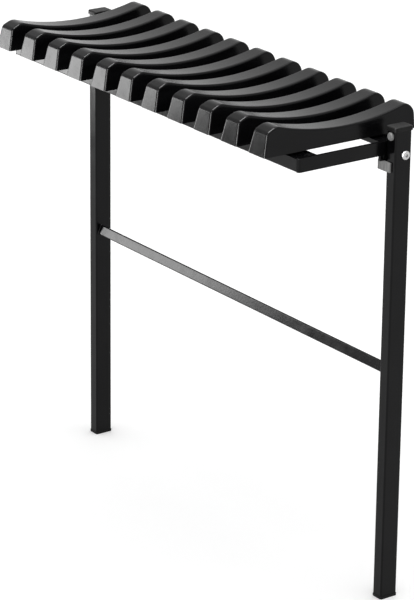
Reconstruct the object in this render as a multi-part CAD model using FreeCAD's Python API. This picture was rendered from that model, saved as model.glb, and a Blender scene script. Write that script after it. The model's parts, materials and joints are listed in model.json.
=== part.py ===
# Folding bench: a slatted seat that swings up between two posts.
# Millimetres. +X runs along the bench, the front is towards -Y and +Z is up.
# The origin lies on the floor under the middle of the seat.
import FreeCAD
import Part
import math
import os

Vector = FreeCAD.Vector
X_AXIS = Vector(1, 0, 0)
Y_AXIS = Vector(0, 1, 0)
Z_AXIS = Vector(0, 0, 1)
NEAR = 1e-3

# Posts
bench_width = 800.0
post_width = 20.0
post_depth = 30.0
post_wall = 2.0
post_corner = 2.5
post_above_pivot = 36.5
tube_inner_round = 0.4
plug_clearance = 0.1
foot_sole = 4.0
foot_plug = 18.0
foot_rim = 0.8
cap_crown = 6.5
cap_rim = 2.0
cap_edge_round = 2.0
cap_tab_length = 12.0
cap_tab_thickness = 1.6

# Crossbar between the posts
crossbar_width = 16.5
crossbar_thickness = 4.0
crossbar_edge_flat = 0.4
crossbar_lean = 20.0
crossbar_above_floor = 369.5
crossbar_behind_front = 8.7

# Slats
slat_count = 11
slat_length = 274.0
slat_width = 40.0
slat_wall = 3.0
slat_draft = 7.0
slat_lean = 12.5
slat_dip_height = 24.0
slat_dip_radius = 415.0
slat_dip_from_front = 147.0
slat_front_face = 34.5
slat_nose_slope = 25.0
slat_nose_round = 9.0
slat_crest_round = 20.0
slat_rear_round = 18.0
slat_edge_round = 3.0
slat_end_gap = 14.5
slat_boss_radius = 6.0
slat_boss_drop = 3.5

# Seat frame
seat_height = 724.0
tail_behind_posts = 41.0
nose_before_tube = 46.0
tube_depth = 37.0
rear_tube_height = 9.5
tube_wall = 2.0
tube_corner = 2.0
arm_height = 21.0
arm_thickness = 5.0
arm_edge_round = 4.5
lug_radius = 13.0
lug_end_round = 8.0
heel_length = 9.0
heel_skirt = 4.0
heel_pin_radius = 2.75
heel_pin_clearance = 0.02
heel_pin_before_post = 1.0
heel_pin_below_pivot = 5.5
heel_pin_proud = 0.6
heel_pin_round = 0.4
heel_pin_inside = 6.0

# Stop plates on the posts, under the heels of the arms
stop_width = 28.0
stop_height = 15.0
stop_thickness = 3.0
stop_inset = 8.0
stop_below_pivot = 11.0
stop_clearance = 0.1

# Pivots
pivot_above_arm_bottom = 3.0
pivot_behind_front = 18.0
bolt_radius = 4.0
bolt_hole_clearance = 0.1
bolt_running_clearance = 0.05
bolt_head_radius = 7.0
bolt_head_height = 4.4
bolt_head_round = 3.0
bolt_end = 2.0
socket_across_flats = 5.0
socket_depth = 2.5
bush_wall = 2.0
bush_flange_radius = 8.0
bush_flange = 2.5
side_clearance = 0.1
washer_radius = 8.0
washer_thickness = 1.6
nut_across_flats = 13.0
nut_height = 6.5
nut_collar_radius = 5.6
nut_collar_height = 1.5
thread_clearance = 0.02

# Sleeve nuts that take the wall fixings
sleeve_radius = 5.0
sleeve_clearance = 0.1
sleeve_head_below_cap = 1.75
sleeve_head_radius = 6.25
sleeve_head_height = 4.0
sleeve_head_round = 3.0
sleeve_bore_radius = 3.4
sleeve_bore_depth = 22.0

# Screws that hold the slats
screw_radius = 2.0
screw_hole_clearance = 0.2
screw_grip = 14.0
screw_fit_clearance = 0.05
screw_head_radius = 4.0
screw_head_height = 2.4
screw_head_round = 1.2

# Places that follow from the sizes above
post_outer_x = bench_width / 2
post_inner_x = post_outer_x - post_width
post_middle_x = post_outer_x - post_width / 2
slat_front_y = -slat_length / 2
slat_rear_y = slat_length / 2
post_rear_y = slat_rear_y - tail_behind_posts
post_front_y = post_rear_y - post_depth
frame_top = seat_height - slat_boss_drop
arm_bottom = frame_top - arm_height
pivot_z = arm_bottom + pivot_above_arm_bottom
pivot_y = post_front_y + pivot_behind_front
post_top = pivot_z + post_above_pivot
sleeve_z = post_top - sleeve_head_below_cap - sleeve_head_radius
arm_outer_x = post_inner_x - side_clearance - bush_flange
arm_inner_x = arm_outer_x - arm_thickness
front_tube_y = slat_front_y + nose_before_tube
arm_rear_y = pivot_y + lug_radius
rear_tube_y = arm_rear_y - tube_depth
stop_top = pivot_z - stop_below_pivot
heel_sweep = math.hypot(pivot_y - post_front_y, stop_below_pivot) - 2 * stop_clearance
bush_radius = bolt_radius + bolt_running_clearance + bush_wall
heel_pin_y = post_front_y - heel_pin_before_post
heel_pin_z = pivot_z - heel_pin_below_pivot
slat_pitch = (2 * (arm_inner_x - slat_end_gap) - slat_width) / (slat_count - 1)


def box(low, high):
    """A box between two opposite corners."""
    return Part.makeBox(high[0] - low[0], high[1] - low[1], high[2] - low[2], Vector(*low))


def rod(radius, start, axis, length):
    """A round bar from a start point along an axis."""
    return Part.makeCylinder(radius, length, Vector(*start), axis)


def edges_along(shape, axis):
    """The straight edges of a shape that run along an axis."""
    found = []
    for edge in shape.Edges:
        if edge.Curve.TypeId != "Part::GeomLine":
            continue
        run = edge.Vertexes[-1].Point - edge.Vertexes[0].Point
        if run.cross(axis).Length < NEAR:
            found.append(edge)
    return found


def rounded_box(low, high, axis, radius):
    """A box with its four edges along one axis rounded."""
    solid = box(low, high)
    return solid.makeFillet(radius, edges_along(solid, axis))


def square_tube(low, high, axis, wall, corner):
    """A rectangular tube along X or Z, open at both ends."""
    shell = Vector(wall, wall, wall) - axis * wall
    inner_low = Vector(*low) + shell
    inner_high = Vector(*high) - shell
    inner_corner = max(corner - wall, tube_inner_round)
    bore = rounded_box(tuple(inner_low), tuple(inner_high), axis, inner_corner)
    return rounded_box(low, high, axis, corner).cut(bore)


def round_head(radius, height, rounding, start, axis):
    """A domed screw head that starts at its flat seat."""
    head = rod(radius, start, axis, height)
    top = Vector(*start) + axis * height
    rim = [edge for edge in head.Edges if abs((edge.CenterOfMass - top).dot(axis)) < NEAR]
    return head.makeFillet(rounding, rim)


def hexagon(across_flats, start, axis, length):
    """A hexagonal prism along X."""
    corner = across_flats / math.sqrt(3)
    points = []
    for step in range(7):
        angle = math.radians(60 * step)
        points.append(Vector(*start) + Vector(0, corner * math.cos(angle), corner * math.sin(angle)))
    return Part.Face(Part.makePolygon(points)).extrude(axis * length)


def mirrored(shape):
    """The left-hand copy of a right-hand piece."""
    return shape.mirror(Vector(0, 0, 0), X_AXIS)


def make_post():
    """Right post: an upright tube with holes for the pivot bolt and the sleeve nut."""
    low = (post_inner_x, post_front_y, foot_sole)
    high = (post_outer_x, post_rear_y, post_top)
    tube = square_tube(low, high, Z_AXIS, post_wall, post_corner)
    pivot_start = (post_inner_x, pivot_y, pivot_z)
    sleeve_start = (post_middle_x, post_front_y, sleeve_z)
    pivot_hole = rod(bolt_radius + bolt_hole_clearance, pivot_start, X_AXIS, post_width)
    sleeve_hole = rod(sleeve_radius + sleeve_clearance, sleeve_start, Y_AXIS, post_depth)
    return tube.cut(pivot_hole).cut(sleeve_hole)


def make_post_cap():
    """Right post cap: a crown with a small rim and two tabs that spring inside the tube."""
    crown = rounded_box(
        (post_inner_x - cap_rim, post_front_y - cap_rim, post_top),
        (post_outer_x + cap_rim, post_rear_y + cap_rim, post_top + cap_crown),
        Z_AXIS,
        post_corner + cap_rim,
    )
    top_rim = [edge for edge in crown.Edges if edge.CenterOfMass.z > post_top + cap_crown - NEAR]
    cap = crown.makeFillet(cap_edge_round, top_rim)
    inside = post_wall + plug_clearance
    tab_front = post_front_y + inside + post_corner
    tab_rear = post_rear_y - inside - post_corner
    tab_bottom = post_top - cap_tab_length
    for tab_x in (post_inner_x + inside, post_outer_x - inside - cap_tab_thickness):
        cap = cap.fuse(box((tab_x, tab_front, tab_bottom), (tab_x + cap_tab_thickness, tab_rear, post_top)))
    return cap


def make_foot():
    """Right foot: a sole under the post with a plug inside the tube."""
    sole = rounded_box(
        (post_inner_x - foot_rim, post_front_y - foot_rim, 0),
        (post_outer_x + foot_rim, post_rear_y + foot_rim, foot_sole),
        Z_AXIS,
        post_corner + foot_rim,
    )
    inside = post_wall + plug_clearance
    plug = rounded_box(
        (post_inner_x + inside, post_front_y + inside, foot_sole),
        (post_outer_x - inside, post_rear_y - inside, foot_sole + foot_plug),
        Z_AXIS,
        post_corner,
    )
    return sole.fuse(plug)


def make_crossbar():
    """Flat bar with rounded edges, welded between the posts so that its face leans back."""
    middle = Vector(0, post_front_y + crossbar_behind_front, crossbar_above_floor)
    half = Vector(post_inner_x, crossbar_thickness / 2, crossbar_width / 2)
    edge_round = (crossbar_thickness - crossbar_edge_flat) / 2
    bar = rounded_box(tuple(middle - half), tuple(middle + half), X_AXIS, edge_round)
    return bar.rotated(middle, X_AXIS, -crossbar_lean)


def make_stop_plate():
    """Right stop plate: welded on the front of the post, reaching in under the arm's heel."""
    outer = post_outer_x - stop_inset
    low = (outer - stop_width, post_front_y - stop_thickness, stop_top - stop_height)
    return box(low, (outer, post_front_y, stop_top))


def make_wall_sleeve():
    """Right sleeve nut: goes through the post from the front and is tapped from the back."""
    start = (post_middle_x, post_front_y, sleeve_z)
    head = round_head(sleeve_head_radius, sleeve_head_height, sleeve_head_round, start, -Y_AXIS)
    sleeve = rod(sleeve_radius, start, Y_AXIS, post_depth)
    bore = rod(sleeve_bore_radius, (post_middle_x, post_rear_y, sleeve_z), -Y_AXIS, sleeve_bore_depth)
    return head.fuse(sleeve).cut(bore)


def make_pivot_bolt():
    """Right pivot bolt: domed head on the outside of the post, shank in through the arm."""
    seat = (post_outer_x, pivot_y, pivot_z)
    inner_end = arm_inner_x - side_clearance - washer_thickness - nut_height - nut_collar_height - bolt_end
    shank = rod(bolt_radius, seat, -X_AXIS, post_outer_x - inner_end)
    head = round_head(bolt_head_radius, bolt_head_height, bolt_head_round, seat, X_AXIS)
    socket_start = (post_outer_x + bolt_head_height - socket_depth, pivot_y, pivot_z)
    return head.fuse(shank).cut(hexagon(socket_across_flats, socket_start, X_AXIS, socket_depth))


def make_pivot_washer():
    """Right washer between the arm and the lock nut."""
    start = (arm_inner_x - side_clearance, pivot_y, pivot_z)
    hole = rod(bolt_radius + bolt_hole_clearance, start, -X_AXIS, washer_thickness)
    return rod(washer_radius, start, -X_AXIS, washer_thickness).cut(hole)


def make_pivot_nut():
    """Right lock nut with its round collar."""
    start = (arm_inner_x - side_clearance - washer_thickness, pivot_y, pivot_z)
    collar_start = (start[0] - nut_height, pivot_y, pivot_z)
    nut = hexagon(nut_across_flats, start, -X_AXIS, nut_height)
    nut = nut.fuse(rod(nut_collar_radius, collar_start, -X_AXIS, nut_collar_height))
    return nut.cut(rod(bolt_radius + thread_clearance, start, -X_AXIS, nut_height + nut_collar_height))


def make_pivot_bush():
    """Right bush: pressed into the arm, with a flange that runs against the post."""
    flange = rod(bush_flange_radius, (arm_outer_x, pivot_y, pivot_z), X_AXIS, bush_flange)
    body = rod(bush_radius, (arm_inner_x, pivot_y, pivot_z), X_AXIS, arm_thickness)
    bore_radius = bolt_radius + bolt_running_clearance
    bore = rod(bore_radius, (arm_inner_x, pivot_y, pivot_z), X_AXIS, arm_thickness + bush_flange)
    return body.fuse(flange).cut(bore)


def make_arm():
    """Right arm: flat bar on edge with a lug round the pivot and a heel over the stop plate."""
    bar = box((arm_inner_x, front_tube_y, arm_bottom), (arm_outer_x, pivot_y, frame_top))
    tail = box((arm_inner_x, pivot_y, pivot_z), (arm_outer_x, arm_rear_y, frame_top))
    top_end = []
    for edge in edges_along(tail, X_AXIS):
        if edge.CenterOfMass.y > arm_rear_y - NEAR and edge.CenterOfMass.z > frame_top - NEAR:
            top_end.append(edge)
    tail = tail.makeFillet(lug_end_round, top_end)
    front_corner = []
    for edge in edges_along(bar, Z_AXIS):
        if edge.CenterOfMass.y < front_tube_y + NEAR and edge.CenterOfMass.x > arm_outer_x - NEAR:
            front_corner.append(edge)
    bar = bar.makeFillet(arm_edge_round, front_corner)
    heel_low = (arm_inner_x, post_front_y - heel_length, stop_top + stop_clearance)
    heel = box(heel_low, (arm_outer_x, pivot_y, frame_top - lug_end_round))
    pivot_start = (arm_inner_x, pivot_y, pivot_z)
    lug = rod(lug_radius, pivot_start, X_AXIS, arm_thickness)
    skirt_low = (arm_inner_x, post_front_y, stop_top - heel_skirt)
    skirt = box(skirt_low, (arm_outer_x, pivot_y, pivot_z))
    skirt = skirt.common(rod(heel_sweep, pivot_start, X_AXIS, arm_thickness))
    arm = bar.fuse(tail).fuse(heel).fuse(skirt).fuse(lug).removeSplitter()
    pin_start = (arm_inner_x, heel_pin_y, heel_pin_z)
    arm = arm.cut(rod(heel_pin_radius + heel_pin_clearance, pin_start, X_AXIS, arm_thickness))
    return arm.cut(rod(bush_radius, pivot_start, X_AXIS, arm_thickness))


def make_heel_pin():
    """Right heel pin: driven through the heel of the arm, with its rounded end just proud outside."""
    start = (arm_inner_x - heel_pin_inside, heel_pin_y, heel_pin_z)
    length = heel_pin_inside + arm_thickness + heel_pin_proud
    return round_head(heel_pin_radius, length, heel_pin_round, start, X_AXIS)


def slat_places():
    """X of the middle of each slat."""
    first = -(slat_count - 1) / 2
    return [(first + index) * slat_pitch for index in range(slat_count)]


def make_tube(tube_y, tube_height):
    """Flat-lying cross tube between the arms, level with their tops and drilled for the slat screws."""
    low = (-arm_inner_x, tube_y, frame_top - tube_height)
    high = (arm_inner_x, tube_y + tube_depth, frame_top)
    tube = square_tube(low, high, X_AXIS, tube_wall, tube_corner)
    for slat_x in slat_places():
        start = (slat_x, tube_y + tube_depth / 2, frame_top - tube_height)
        tube = tube.cut(rod(screw_radius + screw_hole_clearance, start, Z_AXIS, tube_height))
    return tube


def make_slat_screws(tube_y, tube_height):
    """Pan-head screws that come up through one cross tube into the slats."""
    screws = []
    for slat_x in slat_places():
        seat = (slat_x, tube_y + tube_depth / 2, frame_top - tube_height)
        head = round_head(screw_head_radius, screw_head_height, screw_head_round, seat, -Z_AXIS)
        screws.append(head.fuse(rod(screw_radius, seat, Z_AXIS, tube_height + screw_grip)))
    return Part.makeCompound(screws)


def slat_side_view(inset, bottom):
    """Outline of a slat seen from its side, drawn in by an inset, as a solid wider than the slat."""
    lean = math.tan(math.radians(slat_lean))
    rise = math.tan(math.radians(slat_nose_slope))
    front = slat_front_y + inset / math.cos(math.radians(slat_lean))
    rear = slat_rear_y - inset
    dip_y = slat_front_y + slat_dip_from_front
    dip_z = seat_height + slat_dip_height - inset
    radius = slat_dip_radius + inset
    centre_z = dip_z + radius

    # The nose line climbs from the top of the front face until it meets the dip's arc.
    nose_z = seat_height + slat_front_face - inset / math.cos(math.radians(slat_nose_slope))
    nose_y = slat_front_y + lean * slat_front_face
    corner_z = (nose_z + rise * (front - nose_y - lean * seat_height)) / (1 - rise * lean)
    corner_y = front + lean * (corner_z - seat_height)
    drop = nose_z - rise * nose_y - centre_z
    square = 1 + rise**2
    half_slope = rise * drop - dip_y
    crest_y = (-half_slope - math.sqrt(half_slope**2 - square * (dip_y**2 + drop**2 - radius**2))) / square
    crest_z = nose_z + rise * (crest_y - nose_y)
    rear_z = centre_z - math.sqrt(radius**2 - (rear - dip_y) ** 2)

    front_bottom = Vector(0, front + lean * (bottom - seat_height), bottom)
    nose = Vector(0, corner_y, corner_z)
    crest = Vector(0, crest_y, crest_z)
    rear_top = Vector(0, rear, rear_z)
    rear_bottom = Vector(0, rear, bottom)
    outline = Part.Wire(
        [
            Part.makeLine(front_bottom, nose),
            Part.makeLine(nose, crest),
            Part.Arc(crest, Vector(0, dip_y, dip_z), rear_top).toShape(),
            Part.makeLine(rear_top, rear_bottom),
            Part.makeLine(rear_bottom, front_bottom),
        ]
    )
    block = Part.Face(outline).extrude(X_AXIS * slat_width * 2)
    block.translate(X_AXIS * -slat_width)
    rounds = ((nose, slat_nose_round), (crest, slat_crest_round), (rear_top, slat_rear_round))
    for corner, rounding in rounds:
        ridge = [edge for edge in edges_along(block, X_AXIS) if (edge.CenterOfMass - corner).Length < NEAR]
        block = block.makeFillet(rounding - inset, ridge)
    return block


def slat_end_view(inset, bottom):
    """The tapering section of a slat, drawn in by an inset, as a solid along its full length."""
    draft = math.radians(slat_draft)
    top = seat_height + slat_front_face + slat_crest_round
    low_half = slat_width / 2 - inset / math.cos(draft) + (seat_height - bottom) * math.tan(draft)
    high_half = slat_width / 2 - inset / math.cos(draft) - (top - seat_height) * math.tan(draft)
    start = slat_front_y - slat_length
    points = [
        Vector(-low_half, start, bottom),
        Vector(low_half, start, bottom),
        Vector(high_half, start, top),
        Vector(-high_half, start, top),
        Vector(-low_half, start, bottom),
    ]
    return Part.Face(Part.makePolygon(points)).extrude(Y_AXIS * slat_length * 3)


def make_slat():
    """One moulded slat in the middle of the bench: a shell, open below, with two screw bosses."""
    block = slat_side_view(0, seat_height).common(slat_end_view(0, seat_height))
    outer_edges = []
    for edge in block.Edges:
        middle = edge.CenterOfMass
        across = abs(edge.Vertexes[0].X - edge.Vertexes[-1].X) > slat_width / 3
        if not across and middle.z > seat_height + NEAR:
            outer_edges.append(edge)
    block = block.makeFillet(slat_edge_round, outer_edges)
    below = seat_height - slat_wall
    slat = block.cut(slat_side_view(slat_wall, below).common(slat_end_view(slat_wall, below)))
    for tube_y in (front_tube_y, rear_tube_y):
        foot = (0, tube_y + tube_depth / 2, frame_top)
        boss = rod(slat_boss_radius, foot, Z_AXIS, slat_boss_drop + 3 * slat_dip_height)
        upper = boss.common(block)
        lower = rod(slat_boss_radius, foot, Z_AXIS, slat_boss_drop)
        pilot = rod(screw_radius + screw_fit_clearance, foot, Z_AXIS, screw_grip)
        slat = slat.fuse(upper).fuse(lower).cut(pilot)
    return slat.removeSplitter()


def build():
    """Every piece by its node name."""
    pieces = {}
    sided = {
        "post": make_post,
        "post_cap": make_post_cap,
        "foot": make_foot,
        "stop_plate": make_stop_plate,
        "wall_sleeve": make_wall_sleeve,
        "pivot_bolt": make_pivot_bolt,
        "pivot_washer": make_pivot_washer,
        "pivot_nut": make_pivot_nut,
        "pivot_bush": make_pivot_bush,
        "arm": make_arm,
        "heel_pin": make_heel_pin,
    }
    for name, make in sided.items():
        right = make()
        pieces["right_" + name] = right
        pieces["left_" + name] = mirrored(right)
    pieces["crossbar"] = make_crossbar()
    tubes = {"front": (front_tube_y, arm_height), "rear": (rear_tube_y, rear_tube_height)}
    for name, (tube_y, tube_height) in tubes.items():
        pieces[name + "_tube"] = make_tube(tube_y, tube_height)
        pieces[name + "_slat_screws"] = make_slat_screws(tube_y, tube_height)
    slat = make_slat()
    for index, slat_x in enumerate(slat_places()):
        pieces[f"slat_{index + 1:02d}"] = slat.translated(X_AXIS * slat_x)
    return pieces


os.makedirs("parts", exist_ok=True)
for node, shape in build().items():
    shape.exportStep(f"parts/{node}.step")
    print(node, len(shape.Solids), shape.isValid(), round(shape.Volume))
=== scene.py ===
# %% [markdown]
# # A fold-up bench
# Eleven moulded slats lie on a low steel frame that swings up between two posts. The imported model already
# holds every piece at its real size, so this lesson gives the pieces their finish, models the slats and
# screws more finely, softens the steel's edges, adds the welds, and sets up a camera and light for a
# photograph of the result. The first step loads the imported model and keeps its box.

# %% Load the frame
import json
import math

import bmesh
import bpy
from mathutils import Matrix, Vector

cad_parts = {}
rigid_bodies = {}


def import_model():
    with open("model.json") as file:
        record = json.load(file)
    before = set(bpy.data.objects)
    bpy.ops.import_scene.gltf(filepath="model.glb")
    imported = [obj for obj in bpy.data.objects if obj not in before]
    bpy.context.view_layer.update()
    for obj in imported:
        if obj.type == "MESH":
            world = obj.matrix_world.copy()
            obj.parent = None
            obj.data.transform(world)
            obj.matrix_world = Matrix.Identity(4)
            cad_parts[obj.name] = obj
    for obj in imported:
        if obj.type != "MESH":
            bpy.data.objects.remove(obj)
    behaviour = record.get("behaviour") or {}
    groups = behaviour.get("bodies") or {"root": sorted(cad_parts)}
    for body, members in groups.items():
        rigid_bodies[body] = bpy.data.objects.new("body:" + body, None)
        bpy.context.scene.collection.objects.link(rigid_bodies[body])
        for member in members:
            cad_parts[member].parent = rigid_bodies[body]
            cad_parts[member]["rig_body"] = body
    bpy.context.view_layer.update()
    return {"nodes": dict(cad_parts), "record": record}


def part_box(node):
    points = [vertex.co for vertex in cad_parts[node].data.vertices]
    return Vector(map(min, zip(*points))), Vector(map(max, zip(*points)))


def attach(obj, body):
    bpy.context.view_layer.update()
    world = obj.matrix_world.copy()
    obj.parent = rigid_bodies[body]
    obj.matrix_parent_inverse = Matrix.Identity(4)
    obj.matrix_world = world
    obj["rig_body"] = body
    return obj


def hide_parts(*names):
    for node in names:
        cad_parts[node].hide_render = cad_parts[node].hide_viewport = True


for leftover in list(bpy.data.objects):
    bpy.data.objects.remove(leftover)
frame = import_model()
nodes = frame["nodes"]
slot_of_node = {subpart["node"]: subpart["material_slot"] for subpart in frame["record"]["subparts"]}
mm = 0.001

# %% [markdown]
# ## Camera
# The picture was taken with a long lens, from the right and a little above, so lines that are parallel on
# the bench stay nearly parallel in it. A camera could be aimed with a constraint, but here its three axes
# are worked out from two angles and a small roll, because the same axes give its place. The shift slides
# the picture in its frame without turning the camera.

# %% Camera
image_height = 600
focal_length_pixels = 2984.4
view_azimuth = math.radians(53.92)
view_elevation = math.radians(19.76)
view_roll = math.radians(0.764)
view_distance = 4.691
aim = Vector((0, 0.066, 0.400))
aim_right_of_middle = 22.5
aim_above_middle = 22.9

flat = math.cos(view_elevation)
backward = Vector((math.sin(view_azimuth) * flat, -math.cos(view_azimuth) * flat, math.sin(view_elevation)))
level_right = Vector((math.cos(view_azimuth), math.sin(view_azimuth), 0))
level_up = backward.cross(level_right)
right = math.cos(view_roll) * level_right + math.sin(view_roll) * level_up
up = math.cos(view_roll) * level_up - math.sin(view_roll) * level_right

camera_data = bpy.data.cameras.new("camera")
camera_data.lens = focal_length_pixels * camera_data.sensor_width / image_height
camera_data.shift_x = -aim_right_of_middle / image_height
camera_data.shift_y = -aim_above_middle / image_height
camera = bpy.data.objects.new("camera", camera_data)
camera_place = aim + view_distance * backward
camera.matrix_world = Matrix.Translation(camera_place) @ Matrix((right, up, backward)).transposed().to_4x4()
bpy.context.scene.collection.objects.link(camera)
bpy.context.scene.camera = camera
place_shown = [round(part, 3) for part in camera_place]
print("camera at", place_shown, "with a lens of", round(camera_data.lens, 1), "mm")

# %% [markdown]
# ## Floor and studio light
# Black gloss shows its surroundings more than its own colour, so the light decides how this bench looks.
# The room is white all round, and one narrow softbox stands low at the front left, turned on its side: it
# is the pale band in the front of each slat and along the crossbar. A tall softbox near the camera draws
# the slats' upright edges as thin bright lines, and one above draws the slanting edges of the noses. All
# three show in gloss alone: the room and even light from above do the rest. The room and the floor are
# white where the camera or a reflection sees them, and dimmer where they only light things, so that
# nothing is overlit.

# %% Floor and studio light
room_light = 0.55
floor_size = 80
floor_shade = 0.93
floor_roughness = 0.9
floor_lift = 0.12


def feed(tree, socket, source):
    """Link a socket from another one, or set it to a plain value."""
    if isinstance(source, bpy.types.NodeSocket):
        tree.links.new(source, socket)
    else:
        socket.default_value = source


def add_math(tree, operation, *sources):
    """The result of a math node whose inputs are fed in order."""
    node = tree.nodes.new("ShaderNodeMath")
    node.operation = operation
    for socket, source in zip(node.inputs, sources):
        feed(tree, socket, source)
    return node.outputs[0]


def is_seen(tree):
    """1 for what the camera sees, also in gloss or through glass, and 0 for what only lights things."""
    rays = tree.nodes.new("ShaderNodeLightPath").outputs
    indirect = add_math(tree, "MAXIMUM", rays["Is Glossy Ray"], rays["Is Transmission Ray"])
    return add_math(tree, "MAXIMUM", rays["Is Camera Ray"], indirect)


def make_room():
    """A white room that reflections and the camera see at full strength."""
    world = bpy.data.worlds.new("white room")
    world.use_nodes = True
    tree = world.node_tree
    level = tree.nodes.new("ShaderNodeMapRange")
    level.inputs["To Min"].default_value = room_light
    level.inputs["To Max"].default_value = 1
    tree.links.new(is_seen(tree), level.inputs["Value"])
    background = tree.nodes["Background"]
    background.inputs["Color"].default_value = (1, 1, 1, 1)
    tree.links.new(level.outputs["Result"], background.inputs["Strength"])
    bpy.context.scene.world = world


def make_floor():
    """A plain pale floor under the feet, lifted to white where it is seen."""
    bm = bmesh.new()
    bmesh.ops.create_grid(bm, x_segments=1, y_segments=1, size=floor_size / 2)
    mesh = bpy.data.meshes.new("floor")
    bm.to_mesh(mesh)
    bm.free()
    paint = bpy.data.materials.new("pale floor")
    paint.use_nodes = True
    paint.cycles.emission_sampling = "NONE"
    tree = paint.node_tree
    shader = tree.nodes["Principled BSDF"]
    shader.inputs["Base Color"].default_value = (floor_shade, floor_shade, floor_shade, 1)
    shader.inputs["Roughness"].default_value = floor_roughness
    shader.inputs["Specular IOR Level"].default_value = 0
    shader.inputs["Emission Color"].default_value = (1, 1, 1, 1)
    tree.links.new(add_math(tree, "MULTIPLY", is_seen(tree), floor_lift), shader.inputs["Emission Strength"])
    mesh.materials.append(paint)
    floor = bpy.data.objects.new("floor", mesh)
    bpy.context.scene.collection.objects.link(floor)


def make_softbox(name, place, target, size, radiance, roll=0.0):
    """A rectangular lamp, aimed at a target and turned about its own axis, that shows in gloss alone."""
    lamp_data = bpy.data.lights.new(name, "AREA")
    lamp_data.shape = "RECTANGLE"
    lamp_data.size, lamp_data.size_y = size
    lamp_data.energy = radiance * math.pi * size[0] * size[1]
    lamp = bpy.data.objects.new(name, lamp_data)
    aim_turn = (Vector(target) - Vector(place)).to_track_quat("-Z", "Y").to_matrix().to_4x4()
    lamp.matrix_world = Matrix.Translation(Vector(place)) @ aim_turn @ Matrix.Rotation(roll, 4, "Z")
    lamp.visible_camera = False
    lamp.visible_diffuse = False
    bpy.context.scene.collection.objects.link(lamp)
    print(name, "of", round(lamp_data.energy, 1), "W")


def make_overhead_light(strength, spread):
    """Even light from straight above, as from a wide ceiling of diffusers."""
    lamp_data = bpy.data.lights.new("overhead light", "SUN")
    lamp_data.energy = strength
    lamp_data.angle = spread
    lamp = bpy.data.objects.new("overhead light", lamp_data)
    bpy.context.scene.collection.objects.link(lamp)


make_room()
make_floor()
make_softbox(
    "side softbox",
    place=(-1.323, -0.897, 0.63),
    target=(0, 0.01, 0.63),
    size=(0.34, 0.91),
    radiance=14.4,
    roll=math.radians(-34),
)
make_softbox(
    "edge softbox",
    place=(0.95, -2.17, 1.45),
    target=(0.2, -0.1, 1.45),
    size=(0.7, 2.0),
    radiance=40,
)
make_softbox(
    "nose softbox",
    place=(0.3, -0.15, 2.2),
    target=(0.2, -0.15, 0.7),
    size=(0.8, 0.7),
    radiance=30,
)
make_overhead_light(strength=1.85, spread=math.radians(70))
bpy.context.scene.view_settings.view_transform = "Standard"

# %% [markdown]
# ## Finishes
# Every finish starts from the same shader, and noise on Object coordinates does the rest: it clouds the
# colour a little, makes the gloss uneven and raises fine bumps. Object coordinates stay with a piece when
# it moves, which a pattern tied to the picture wouldn't.

# %% Helpers for the finishes
color_noise_range = 0.35, 0.65
gloss_noise_range = 0.3, 0.7


def start_finish(name, specular, metallic=0.0):
    """A new material with its constant values set on the shader."""
    material = bpy.data.materials.new(name)
    material.use_nodes = True
    shader = material.node_tree.nodes["Principled BSDF"]
    shader.inputs["Specular IOR Level"].default_value = specular
    shader.inputs["Metallic"].default_value = metallic
    return material


def add_noise(material, grain, detail=3.0, stretch=(1, 1, 1)):
    """Noise whose grain is a length on the piece; stretch draws it out along an axis."""
    tree = material.node_tree
    coordinates = tree.nodes.new("ShaderNodeTexCoord")
    mapping = tree.nodes.new("ShaderNodeMapping")
    mapping.inputs["Scale"].default_value = [1 / (grain * factor) for factor in stretch]
    noise = tree.nodes.new("ShaderNodeTexNoise")
    noise.inputs["Scale"].default_value = 1
    noise.inputs["Detail"].default_value = detail
    tree.links.new(coordinates.outputs["Object"], mapping.inputs["Vector"])
    tree.links.new(mapping.outputs["Vector"], noise.inputs["Vector"])
    return noise.outputs["Fac"]


def cloud_color(material, noise, dark, light):
    """Let the colour drift between two shades."""
    tree = material.node_tree
    ramp = tree.nodes.new("ShaderNodeValToRGB")
    for stop, position, color in zip(ramp.color_ramp.elements, color_noise_range, (dark, light)):
        stop.position = position
        stop.color = (*color, 1)
    tree.links.new(noise, ramp.inputs["Fac"])
    tree.links.new(ramp.outputs["Color"], tree.nodes["Principled BSDF"].inputs["Base Color"])


def cloud_roughness(material, noise, smooth, rough):
    """Let the gloss drift between two roughness values."""
    tree = material.node_tree
    spread = tree.nodes.new("ShaderNodeMapRange")
    spread.inputs["From Min"].default_value, spread.inputs["From Max"].default_value = gloss_noise_range
    spread.inputs["To Min"].default_value = smooth
    spread.inputs["To Max"].default_value = rough
    tree.links.new(noise, spread.inputs["Value"])
    tree.links.new(spread.outputs["Result"], tree.nodes["Principled BSDF"].inputs["Roughness"])


def add_bumps(material, noise, height):
    """Raise the surface by noise, on top of any bumps that are there already."""
    tree = material.node_tree
    normal = tree.nodes["Principled BSDF"].inputs["Normal"]
    bump = tree.nodes.new("ShaderNodeBump")
    bump.inputs["Distance"].default_value = height
    if normal.is_linked:
        tree.links.new(normal.links[0].from_socket, bump.inputs["Normal"])
    tree.links.new(noise, bump.inputs["Height"])
    tree.links.new(bump.outputs["Normal"], normal)


# %% [markdown]
# ### Black gloss paint
# The steel is sprayed black. Sprayed paint settles with a faint orange peel, a millimetre or two across,
# over slower waves, and it is glossier where it went on thick. Two bumps of different grain copy that.

# %% Black gloss paint
black_paint = start_finish("black gloss paint", specular=0.13)
paint_clouds = add_noise(black_paint, grain=60 * mm)
cloud_color(black_paint, paint_clouds, dark=(0.0015, 0.0015, 0.0018), light=(0.003, 0.003, 0.0034))
cloud_roughness(black_paint, add_noise(black_paint, grain=25 * mm), smooth=0.14, rough=0.24)
add_bumps(black_paint, add_noise(black_paint, grain=4.5 * mm), height=0.06 * mm)
add_bumps(black_paint, add_noise(black_paint, grain=1.4 * mm), height=0.02 * mm)

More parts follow.
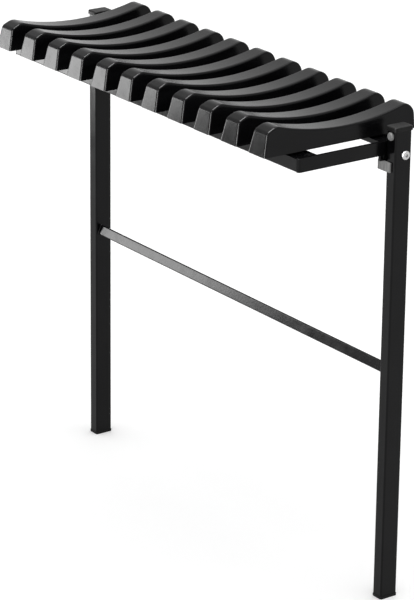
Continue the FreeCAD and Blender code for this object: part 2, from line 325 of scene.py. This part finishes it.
# %% [markdown]
# ### Slat plastic
# The slats are moulded in black plastic. The mould leaves a fine satin grain all over, finer than the
# paint's peel, and the melt leaves slow flow marks along the slat.

# %% Slat plastic
slat_plastic = start_finish("satin slat plastic", specular=0.135)
flow_marks = add_noise(slat_plastic, grain=18 * mm, stretch=(1, 6, 1))
cloud_color(slat_plastic, flow_marks, dark=(0.0018, 0.0018, 0.0021), light=(0.0034, 0.0034, 0.0038))
cloud_roughness(slat_plastic, flow_marks, smooth=0.15, rough=0.23)
add_bumps(slat_plastic, add_noise(slat_plastic, grain=1.2 * mm), height=0.03 * mm)
add_bumps(slat_plastic, add_noise(slat_plastic, grain=0.45 * mm), height=0.012 * mm)

# %% [markdown]
# ### Small plastics and zinc
# The caps and feet are duller plastic with a coarser grain, and the pivot bushes are natural dark nylon.
# Bolts, nuts and screws are zinc plated: bright, a little uneven in gloss, with a faint crystal grain.
# The sleeve nuts and the stop plates have a duller, greyer coat, streaked up and down.

# %% Small plastics and zinc
cap_plastic = start_finish("dull cap plastic", specular=0.1)
cap_clouds = add_noise(cap_plastic, grain=12 * mm)
cloud_color(cap_plastic, cap_clouds, dark=(0.006, 0.006, 0.006), light=(0.01, 0.01, 0.01))
cloud_roughness(cap_plastic, add_noise(cap_plastic, grain=6 * mm), smooth=0.35, rough=0.5)
add_bumps(cap_plastic, add_noise(cap_plastic, grain=0.7 * mm), height=0.04 * mm)

bush_nylon = start_finish("dark nylon", specular=0.4)
nylon_clouds = add_noise(bush_nylon, grain=5 * mm)
cloud_color(bush_nylon, nylon_clouds, dark=(0.03, 0.03, 0.032), light=(0.05, 0.05, 0.05))
cloud_roughness(bush_nylon, add_noise(bush_nylon, grain=3 * mm), smooth=0.4, rough=0.55)
add_bumps(bush_nylon, add_noise(bush_nylon, grain=0.5 * mm), height=0.02 * mm)

zinc_plate = start_finish("zinc plate", specular=0.5, metallic=1.0)
zinc_clouds = add_noise(zinc_plate, grain=4 * mm)
cloud_color(zinc_plate, zinc_clouds, dark=(0.43, 0.43, 0.44), light=(0.53, 0.53, 0.52))
cloud_roughness(zinc_plate, add_noise(zinc_plate, grain=2 * mm), smooth=0.22, rough=0.36)
add_bumps(zinc_plate, add_noise(zinc_plate, grain=0.6 * mm), height=0.012 * mm)

dull_zinc = start_finish("dull zinc", specular=0.2, metallic=0.25)
streaks = add_noise(dull_zinc, grain=1.6 * mm, stretch=(1, 1, 9))
cloud_color(dull_zinc, streaks, dark=(0.14, 0.14, 0.14), light=(0.2, 0.2, 0.196))
cloud_roughness(dull_zinc, add_noise(dull_zinc, grain=2 * mm), smooth=0.65, rough=0.8)
add_bumps(dull_zinc, add_noise(dull_zinc, grain=0.8 * mm, stretch=(1, 1, 4)), height=0.02 * mm)
dull_pieces = ("wall_sleeve", "stop_plate")

finish_of_slot = {
    "black_steel": black_paint,
    "slat_plastic": slat_plastic,
    "cap_plastic": cap_plastic,
    "bush_plastic": bush_nylon,
    "zinc_steel": zinc_plate,
}
for node_name, slot_name in slot_of_node.items():
    node_mesh = nodes[node_name].data
    node_mesh.materials.clear()
    node_mesh.materials.append(dull_zinc if node_name.endswith(dull_pieces) else finish_of_slot[slot_name])
print("finished", len(slot_of_node), "nodes with", len(finish_of_slot) + 1, "finishes")

# %% [markdown]
# ## Helpers for new pieces
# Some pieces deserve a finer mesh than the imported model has. Each is built as a bmesh or grown by a
# Geometry Nodes tree, and its object sits at the origin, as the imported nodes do. A tree is only a recipe:
# its result is copied into a plain mesh once, and the base that it ran on is thrown away.

# %% Helpers for new pieces
crisp_angle = math.radians(35)
merge_distance = 0.001 * mm


def new_piece(name, bm, finish):
    """Turn a bmesh into an object, smooth where its faces run on and crisp at its edges."""
    mesh = bpy.data.meshes.new(name)
    bm.to_mesh(mesh)
    bm.free()
    return show_mesh(name, mesh, finish)


def show_mesh(name, mesh, finish):
    """Put a mesh into the scene with one finish."""
    mesh.materials.clear()
    mesh.materials.append(finish)
    mesh.shade_smooth()
    mesh.set_sharp_from_angle(angle=crisp_angle)
    piece = bpy.data.objects.new(name, mesh)
    bpy.context.scene.collection.objects.link(piece)
    return piece


def hand_over(piece, body, slot, *replaced):
    """Hang the piece on the body it rides on and hide the nodes it stands for; the slot is not used."""
    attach(piece, body)
    if replaced:
        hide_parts(*replaced)
    print(piece.name, "has", len(piece.data.polygons), "faces and stands for", len(replaced), "nodes")


def start_tree(name, inputs):
    """A node tree with geometry in and out and named inputs."""
    tree = bpy.data.node_groups.new(name, "GeometryNodeTree")
    tree.interface.new_socket("Geometry", in_out="INPUT", socket_type="NodeSocketGeometry")
    for label, kind in inputs.items():
        tree.interface.new_socket(label, in_out="INPUT", socket_type="NodeSocket" + kind)
    tree.interface.new_socket("Geometry", in_out="OUTPUT", socket_type="NodeSocketGeometry")
    return tree, tree.nodes.new("NodeGroupInput").outputs


def add_node(tree, kind, **inputs):
    """A node with its inputs linked from other sockets or set to plain values."""
    node = tree.nodes.new(kind)
    for label, source in inputs.items():
        feed(tree, node.inputs[label.replace("_", " ")], source)
    return node


def end_tree(tree, geometry, finish):
    """Close a tree: instances become real and take the finish."""
    real = add_node(tree, "GeometryNodeRealizeInstances", Geometry=geometry)
    painted = add_node(tree, "GeometryNodeSetMaterial", Geometry=real.outputs[0], Material=finish)
    result = tree.nodes.new("NodeGroupOutput")
    tree.links.new(painted.outputs[0], result.inputs[0])


def grow(base_data, tree, values):
    """Run a tree on some base data and return the result as a plain mesh."""
    base = bpy.data.objects.new("base", base_data)
    bpy.context.scene.collection.objects.link(base)
    recipe = base.modifiers.new(tree.name, "NODES")
    recipe.node_group = tree
    for socket in tree.interface.items_tree:
        if socket.in_out == "INPUT" and socket.name in values:
            recipe[socket.identifier] = values[socket.name]
    grown = bpy.data.meshes.new_from_object(base.evaluated_get(bpy.context.evaluated_depsgraph_get()))
    bpy.data.objects.remove(base)
    return grown


def turn_on_lathe(bm, outline, place, sides):
    """Spin an outline of (radius, height) pairs about an upright axis; a radius of 0 closes it."""
    rings = []
    for radius, height in outline:
        count = sides if radius > 0 else 1
        ring = []
        for step in range(count):
            angle = 2 * math.pi * step / sides
            spoke = Vector((radius * math.cos(angle), radius * math.sin(angle), height))
            ring.append(bm.verts.new(place + spoke))
        rings.append(ring)
    for lower, upper in zip(rings, rings[1:]):
        for step in range(sides):
            following = (step + 1) % sides
            corners = [lower[step % len(lower)], lower[following % len(lower)]]
            corners += [upper[following % len(upper)], upper[step % len(upper)]]
            bm.faces.new(list(dict.fromkeys(corners)))
    return rings


# %% [markdown]
# ## Slats
# A slat is a moulded shell, open below: a leaning front, a rounded nose, a long hollow for the sitter and
# a soft rear end. It could be cut from blocks with booleans, but its whole outline follows a rule of
# straight lines and arcs that touch, so a loft gives cleaner faces: the section walks along the outline,
# and every corner between top and side is an arc of its own.

# %% Outline of a slat
slat_names = sorted(name for name in nodes if name.startswith("slat_"))
slat_low, slat_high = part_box(slat_names[0])
slat_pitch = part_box(slat_names[1])[0].x - slat_low.x
slat_width = slat_high.x - slat_low.x
boss_drop = 3.5 * mm
slat_base = slat_low.z + boss_drop
front_lean = math.radians(12.5)
nose_slope = math.radians(25)
front_face = 34.5 * mm
nose_round = 9 * mm
crest_round = 20 * mm
rear_round = 18 * mm
hollow_radius = 415 * mm
hollow_height = 24 * mm
hollow_from_front = 147 * mm
spare_below = 8 * mm
nose_steps = 14
crest_steps = 8
hollow_steps = 28
rear_steps = 12


def outward(angle):
    """Direction out of the slat, in Y and Z, at an angle that grows from the front over the top."""
    return Vector((-math.cos(angle), math.sin(angle)))


def angle_of(direction):
    """The angle that outward would need for a direction."""
    return math.atan2(direction.y, -direction.x)


def arc(centre, radius, start, end, steps):
    """Places on an arc with their outward angles; a negative radius gives a hollow."""
    angles = [start + (end - start) * step / steps for step in range(steps + 1)]
    return [(centre + radius * outward(angle), angle) for angle in angles]


def slat_outline():
    """Places and outward angles from the front foot over the top to the rear foot."""
    nose_angle = math.pi / 2 - nose_slope
    foot = Vector((slat_low.y, slat_base))
    corner = foot + front_face * Vector((math.tan(front_lean), 1))
    both = outward(front_lean) + outward(nose_angle)
    nose_centre = corner - nose_round * both / (1 + outward(front_lean).dot(outward(nose_angle)))
    hollow_centre = foot + Vector((hollow_from_front, hollow_height + hollow_radius))

    climb = Vector((math.cos(nose_slope), math.sin(nose_slope)))
    start = corner - crest_round * outward(nose_angle) - hollow_centre
    along = start.dot(climb)
    run = -along - math.sqrt(along**2 - start.length_squared + (hollow_radius + crest_round) ** 2)
    crest_centre = hollow_centre + start + run * climb
    crest_angle = angle_of(hollow_centre - crest_centre)

    rear_y = slat_high.y - rear_round
    reach = hollow_radius + rear_round
    drop = math.sqrt(reach**2 - (rear_y - hollow_centre.x) ** 2)
    rear_centre = Vector((rear_y, hollow_centre.y - drop))
    rear_angle = angle_of(hollow_centre - rear_centre)

    front_foot = foot - spare_below * Vector((math.tan(front_lean), 1))
    rear_foot = Vector((slat_high.y, slat_base - spare_below))
    outline = [(front_foot, front_lean)]
    outline += arc(nose_centre, nose_round, front_lean, nose_angle, nose_steps)
    outline += arc(crest_centre, crest_round, nose_angle, crest_angle, crest_steps)
    outline += arc(hollow_centre, -hollow_radius, crest_angle, rear_angle, hollow_steps)[1:-1]
    outline += arc(rear_centre, rear_round, rear_angle, math.pi, rear_steps)
    outline.append((rear_foot, math.pi))
    return outline


print("the slat's outline has", len(slat_outline()), "places; pitch", round(slat_pitch / mm, 2), "mm")

# %% [markdown]
# The section narrows towards the top, so that the slat leaves its mould. The same loft, drawn in by the
# wall, gives the inside. Both skins start below the slat's foot and are cut off level with it, which
# leaves two clean rims to bridge.

# %% One slat
slat_wall = 3 * mm
slat_draft = math.radians(7)
edge_round = 3 * mm
inner_round = 0.8 * mm
edge_steps = 5
edge_hold = 0.8 * mm
boss_radius = 6 * mm
boss_chamfer = 0.6 * mm
boss_sides = 32
screw_hole_radius = 2.05 * mm
screw_hole_depth = 14 * mm
boss_sink = 1.4 * mm
side_way = Vector((math.cos(slat_draft), 0, math.sin(slat_draft)))


def slat_section(place, angle, inset, rounding):
    """Points across the slat at one place of its outline, from the left side over to the right side."""
    way = outward(angle)
    out = Vector((0, way.x, way.y))
    centre = Vector((0, place.x, place.y)) - (inset + rounding) * out
    half = slat_width / 2 - (centre.z - slat_base) * math.tan(slat_draft)
    centre.x = half - (inset + rounding) / math.cos(slat_draft)
    right = [centre + rounding * out.slerp(side_way, step / edge_steps) for step in range(edge_steps + 1)]
    right.insert(0, right[0] - Vector((edge_hold, 0, 0)))
    inward = -(out - out.dot(side_way) * side_way).normalized()
    right.append(right[-1] + edge_hold * inward)
    left = [Vector((-point.x, point.y, point.z)) for point in reversed(right)]
    return left + right


def loft_skin(bm, inset, rounding):
    """One skin of the slat: the strip over the top with its rounded edges, and two flat sides."""
    rows = []
    for place, angle in slat_outline():
        rows.append([bm.verts.new(point) for point in slat_section(place, angle, inset, rounding)])
    for row, following in zip(rows, rows[1:]):
        for column in range(len(row) - 1):
            bm.faces.new((row[column], row[column + 1], following[column + 1], following[column]))
    bm.faces.new([row[0] for row in rows])
    bm.faces.new([row[-1] for row in reversed(rows)])


def add_boss(bm, boss_y):
    """A round boss that carries one screw, sunk a little into the top wall."""
    roof = [place for place, _ in slat_outline() if place.y >= slat_base]
    above = min(roof, key=lambda place: abs(place.x - boss_y))
    top = above.y - slat_wall + boss_sink - slat_low.z
    outline = [
        (0, screw_hole_depth),
        (screw_hole_radius, screw_hole_depth),
        (screw_hole_radius, 0),
        (boss_radius - boss_chamfer, 0),
        (boss_radius, boss_chamfer),
        (boss_radius, top),
        (0, top),
    ]
    turn_on_lathe(bm, outline, Vector((0, boss_y, slat_low.z)), boss_sides)


def middle_y(name):
    """Y of the middle of a node."""
    low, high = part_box(name)
    return (low.y + high.y) / 2


def make_slat():
    """One slat in the middle of the bench."""
    bm = bmesh.new()
    loft_skin(bm, 0, edge_round)
    loft_skin(bm, slat_wall, inner_round)
    foot = Vector((0, 0, slat_base))
    everything = bm.verts[:] + bm.edges[:] + bm.faces[:]
    bmesh.ops.bisect_plane(bm, geom=everything, plane_co=foot, plane_no=(0, 0, 1), clear_inner=True)
    bmesh.ops.bridge_loops(bm, edges=[edge for edge in bm.edges if edge.is_boundary])
    for tube in ("front_tube", "rear_tube"):
        add_boss(bm, middle_y(tube))
    bmesh.ops.recalc_face_normals(bm, faces=bm.faces)
    return new_piece("slat_pattern", bm, slat_plastic)


slat_pattern = make_slat()
print("one slat has", len(slat_pattern.data.polygons), "faces")

# %% [markdown]
# ## Rows along the bench
# The eleven slats, and the eleven screws in each cross tube, stand in even rows. A Geometry Nodes tree
# lays a line of points and sets a copy of one piece on each, and the same named inputs suit all three
# rows.

# %% Row of slats


def make_row_tree(finish):
    """A tree that sets copies of one piece along the bench."""
    inputs = {"Copied piece": "Object", "Count": "Int", "First place": "Float", "Pitch": "Float"}
    tree, given = start_tree("row along the bench", inputs)
    first = add_node(tree, "ShaderNodeCombineXYZ", X=given["First place"])
    step = add_node(tree, "ShaderNodeCombineXYZ", X=given["Pitch"])
    line = add_node(
        tree,
        "GeometryNodeMeshLine",
        Count=given["Count"],
        Start_Location=first.outputs[0],
        Offset=step.outputs[0],
    )
    copied = add_node(tree, "GeometryNodeObjectInfo", Object=given["Copied piece"])
    placed = add_node(
        tree,
        "GeometryNodeInstanceOnPoints",
        Points=line.outputs[0],
        Instance=copied.outputs["Geometry"],
    )
    end_tree(tree, placed.outputs[0], finish)
    return tree


def make_row(name, pattern, finish):
    """A row of copies of a piece, one for each slat."""
    values = {
        "Copied piece": pattern,
        "Count": len(slat_names),
        "First place": (slat_low.x + slat_high.x) / 2,
        "Pitch": slat_pitch,
    }
    row = grow(bpy.data.meshes.new("row base"), make_row_tree(finish), values)
    bpy.data.objects.remove(pattern)
    return show_mesh(name, row, finish)


hand_over(make_row("slats", slat_pattern, slat_plastic), "seat", "slat_plastic", *slat_names)

# %% [markdown]
# ## Slat screws
# Each slat is held by two pan-head screws that come up through the cross tubes. Only their heads show,
# from below, so the cross recess is real geometry: the ring of the head is filled around a cross-shaped
# hole, and the hole tapers down to a smaller cross.

# %% Slat screws
screw_radius = 2 * mm
screw_point = 4 * mm
head_radius = 4 * mm
head_height = 2.4 * mm
head_round = 1.2 * mm
head_steps = 5
recess_reach = 1.9 * mm
recess_half_width = 0.45 * mm
recess_depth = 1.5 * mm
recess_taper = 0.55
screw_sides = 24


def cross_ring(bm, seat, size, height):
    """The twelve corners of a cross, in order."""
    reach, half = recess_reach * size, recess_half_width * size
    quarter = [Vector((reach, -half, 0)), Vector((reach, half, 0)), Vector((half, half, 0))]
    ring = []
    for turn in range(4):
        turned = Matrix.Rotation(turn * math.pi / 2, 3, "Z")
        ring += [bm.verts.new(seat + turned @ corner + Vector((0, 0, height))) for corner in quarter]
    return ring


def make_screw(seat, length):
    """A pan-head screw that points up, with its head under its seat."""
    bm = bmesh.new()
    outline = [(0, length), (screw_radius, length - screw_point), (screw_radius, 0), (head_radius, 0)]
    for step in range(head_steps + 1):
        angle = math.pi / 2 * step / head_steps
        radius = head_radius - head_round + head_round * math.cos(angle)
        outline.append((radius, -head_height + head_round - head_round * math.sin(angle)))
    rim = turn_on_lathe(bm, outline, seat, screw_sides)[-1]
    mouth = cross_ring(bm, seat, 1, -head_height)
    floor_ring = cross_ring(bm, seat, recess_taper, -head_height + recess_depth)
    hole_edges = [bm.edges.new((corner, mouth[index - 1])) for index, corner in enumerate(mouth)]
    rim_edges = [bm.edges.get((corner, rim[index - 1])) for index, corner in enumerate(rim)]
    bmesh.ops.triangle_fill(bm, edges=hole_edges + rim_edges, use_beauty=True)
    for index in range(len(mouth)):
        bm.faces.new((mouth[index - 1], mouth[index], floor_ring[index], floor_ring[index - 1]))
    bm.faces.new(floor_ring)
    bmesh.ops.recalc_face_normals(bm, faces=bm.faces)
    return new_piece("screw_pattern", bm, zinc_plate)


for row_name in ("front", "rear"):
    screws_low, screws_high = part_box(row_name + "_slat_screws")
    screw_seat = Vector((0, middle_y(row_name + "_tube"), screws_low.z + head_height))
    one_screw = make_screw(screw_seat, screws_high.z - screw_seat.z)
    screws = make_row(row_name + "_screw_row", one_screw, zinc_plate)
    hand_over(screws, "seat", "zinc_steel", row_name + "_slat_screws")

# %% [markdown]
# ## Softened steel and feet
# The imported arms, stop plates and feet have knife edges, and a knife edge never catches the light. Sawn
# bar is filed and painted, so a copy of each node gets a small bevel. The copy's loose triangles are
# merged first, or the bevel would have no edges to work on.

# %% Softened steel and feet
flat_angle = math.radians(0.5)
bevel_segments = 2
bar_bevel = 0.5 * mm
foot_bevel = 0.4 * mm


def soften(name, width):
    """A copy of a node with its edges bevelled, which stands for the node."""
    node = nodes[name]
    bm = bmesh.new()
    bm.from_mesh(node.data)
    bmesh.ops.remove_doubles(bm, verts=bm.verts, dist=merge_distance)
    bmesh.ops.dissolve_limit(bm, angle_limit=flat_angle, verts=bm.verts, edges=bm.edges)
    piece = new_piece(name + "_softened", bm, node.data.materials[0])
    bevel = piece.modifiers.new("filed edges", "BEVEL")
    bevel.width = width
    bevel.segments = bevel_segments
    bevel.limit_method = "ANGLE"
    bevel.angle_limit = crisp_angle
    bevel.use_clamp_overlap = False
    bevel.harden_normals = True
    hand_over(piece, node["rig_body"], slot_of_node[name], name)


for side in ("left", "right"):
    soften(side + "_arm", bar_bevel)
    soften(side + "_stop_plate", bar_bevel)
    soften(side + "_foot", foot_bevel)

# %% [markdown]
# ## Weld beads
# The crossbar is welded to the posts and the cross tubes to the arms. A bead is a thin roll of steel with
# a ripple for every drop that the welder laid, painted over with the rest. It could be modelled as a
# chain of balls, but a sweep has no faces inside it: a Geometry Nodes tree samples the path evenly and
# draws a circle along it that swells and shrinks.

# %% Weld beads
bead_radius = 1.2 * mm
bead_ripple = 0.16
bead_pitch = 1.9 * mm
bead_sides = 10
samples_per_ripple = 5
bead_end_gap = 2 * bead_radius
end_tolerance = 0.01 * mm


def make_bead_tree(finish):
    """A tree that turns a path of edges into a rippled bead."""
    labels = ("Bead radius", "Ripple", "Waves per length", "Sample length")
    tree, given = start_tree("weld bead", dict.fromkeys(labels, "Float"))
    path = add_node(tree, "GeometryNodeMeshToCurve", Mesh=given["Geometry"])
    even = add_node(tree, "GeometryNodeResampleCurve", Curve=path.outputs[0])
    even.mode = "LENGTH"
    tree.links.new(given["Sample length"], even.inputs["Length"])
    travelled = tree.nodes.new("GeometryNodeSplineParameter").outputs["Length"]
    wave = add_math(tree, "MULTIPLY", travelled, given["Waves per length"])
    swell = add_math(tree, "MULTIPLY_ADD", add_math(tree, "SINE", wave), given["Ripple"], 1)
    ring = add_node(
        tree,
        "GeometryNodeCurvePrimitiveCircle",
        Resolution=bead_sides,
        Radius=given["Bead radius"],
    )
    bead = add_node(
        tree,
        "GeometryNodeCurveToMesh",
        Curve=even.outputs[0],
        Profile_Curve=ring.outputs[0],
        Scale=swell,
        Fill_Caps=True,
    )
    end_tree(tree, bead.outputs[0], finish)
    return tree


def make_beads(name, body, paths):
    """One piece with a bead along each path, a list of places that is closed if it ends where it began."""
    bm = bmesh.new()
    for places in paths:
        corners = [bm.verts.new(place) for place in places]
        for corner, following in zip(corners, corners[1:]):
            bm.edges.new((corner, following))
    bmesh.ops.remove_doubles(bm, verts=bm.verts, dist=merge_distance)
    base = bpy.data.meshes.new(name)
    bm.to_mesh(base)
    bm.free()
    values = {
        "Bead radius": bead_radius,
        "Ripple": bead_ripple,
        "Waves per length": 2 * math.pi / bead_pitch,
        "Sample length": bead_pitch / samples_per_ripple,
    }
    beads = show_mesh(name, grow(base, make_bead_tree(black_paint), values), black_paint)
    hand_over(beads, body, "black_steel")


def crossbar_paths():
    """A loop round each end of the crossbar."""
    loops = []
    low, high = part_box("crossbar")
    places = [vert.co for vert in nodes["crossbar"].data.vertices]
    for end_x in (low.x, high.x):
        corners = [place for place in places if abs(place.x - end_x) < end_tolerance]
        middle = sum(corners, Vector()) / len(corners)
        ordered = sorted(corners, key=lambda place: math.atan2(place.z - middle.z, place.y - middle.y))
        loops.append(ordered + ordered[:1])
    return loops


def tube_paths():
    """An upright line in each inner corner between a cross tube and an arm."""
    lines = []
    for tube, takes_rear in (("front_tube", True), ("rear_tube", False)):
        low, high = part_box(tube)
        corner_y = high.y if takes_rear else low.y
        for end_x in (low.x, high.x):
            ends = (low.z + bead_end_gap, high.z - bead_end_gap)
            lines.append([Vector((end_x, corner_y, height)) for height in ends])
    return lines


make_beads("crossbar_welds", "stand", crossbar_paths())
make_beads("tube_welds", "seat", tube_paths())
